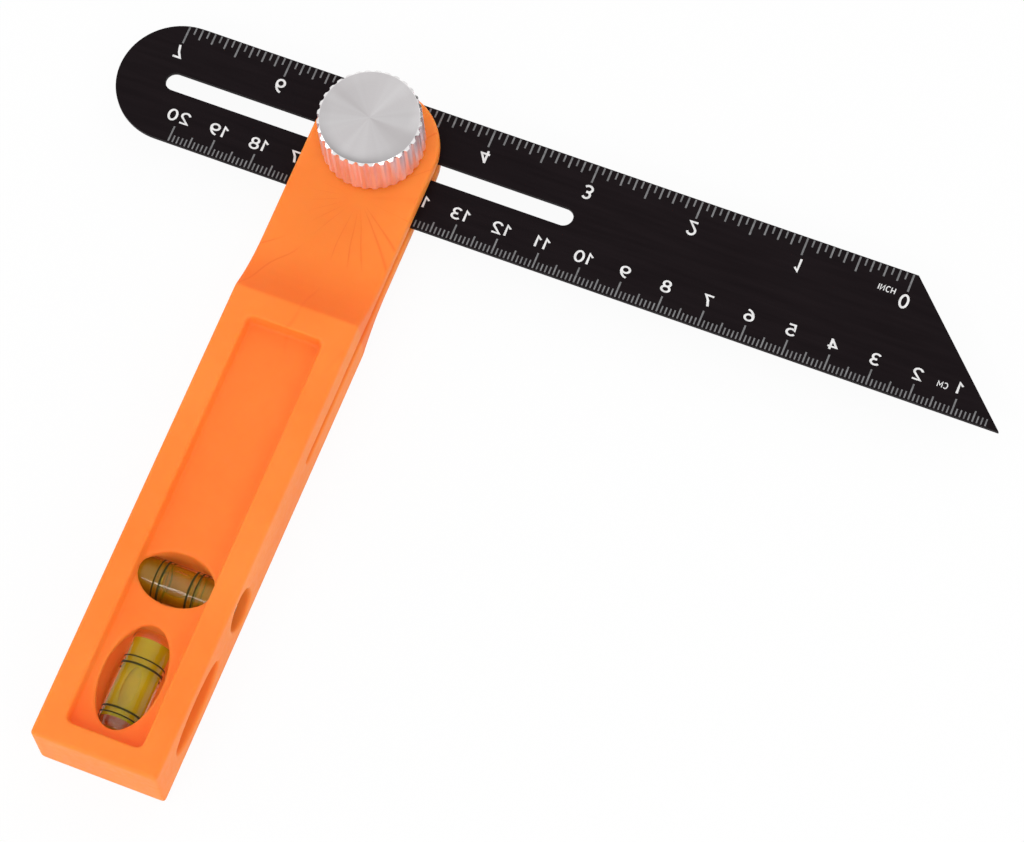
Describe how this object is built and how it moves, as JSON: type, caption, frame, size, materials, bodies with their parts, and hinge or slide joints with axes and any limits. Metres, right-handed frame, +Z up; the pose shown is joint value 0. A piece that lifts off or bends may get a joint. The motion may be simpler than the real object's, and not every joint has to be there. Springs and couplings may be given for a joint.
{
  "type": "sliding bevel",
  "caption": "Sliding bevel: moulded handle with two level vials, a slotted blade with one mitred end that swings and slides, and a knurled clamp knob.",
  "frame": {"origin": "middle of the tool's footprint, on the surface that the back of the handle lies on", "axes": "+X along the blade towards its sharp tip, +Y from the handle's butt towards its rounded head, +Z up through the clamp knob"},
  "size_m": [0.2196, 0.1726, 0.0267],
  "materials": {
    "orange_plastic": "satin moulded",
    "black_anodised": "black anodised, satin",
    "nylon": "matt",
    "zinc_steel": "zinc plated",
    "spun_aluminium": "spun face, bright chamfer",
    "black_plastic": "matt",
    "clear_acrylic": "polished, clear",
    "spirit": "tinted clear liquid",
    "clear_stopper": "clear"
  },
  "bodies": {
    "stock": {"handle": "orange_plastic", "clamp_bolt": "zinc_steel", "cross_vial_tube": "clear_acrylic", "cross_vial_liquid": "spirit", "cross_vial_plug": "clear_stopper", "long_vial_tube": "clear_acrylic", "long_vial_liquid": "spirit", "long_vial_plug": "clear_stopper"},
    "swivel": {"friction_washer_front": "nylon", "friction_washer_back": "nylon"},
    "blade": {"blade": "black_anodised"},
    "clamp_washers": {"flat_washer": "zinc_steel", "spring_washer": "zinc_steel"},
    "knob": {"knob_shell": "spun_aluminium", "knob_core": "black_plastic", "knob_nut": "zinc_steel"}
  },
  "joints": [
    {"name": "blade_swing", "type": "hinge", "parent": "stock", "child": "swivel", "pos_m": [-0.046, 0.0713, 0.0085], "axis": [0, 0, 1], "range_deg": [-67, 247]},
    {"name": "blade_slide", "type": "slide", "parent": "swivel", "child": "blade", "axis": [1, 0, 0], "range_m": [-0.0463, 0.05]},
    {"name": "knob_lift", "type": "slide", "parent": "stock", "child": "clamp_washers", "axis": [0, 0, 1], "range_m": [0, 0.0014]},
    {"name": "knob_turn", "type": "hinge", "parent": "clamp_washers", "child": "knob", "pos_m": [-0.046, 0.0713, 0.0085], "axis": [0, 0, 1], "range_deg": [0, 720]}
  ],
  "couplings": [
    {"joint": "knob_lift", "follows": "knob_turn", "m_per_rad": 0.0001114}
  ]
}
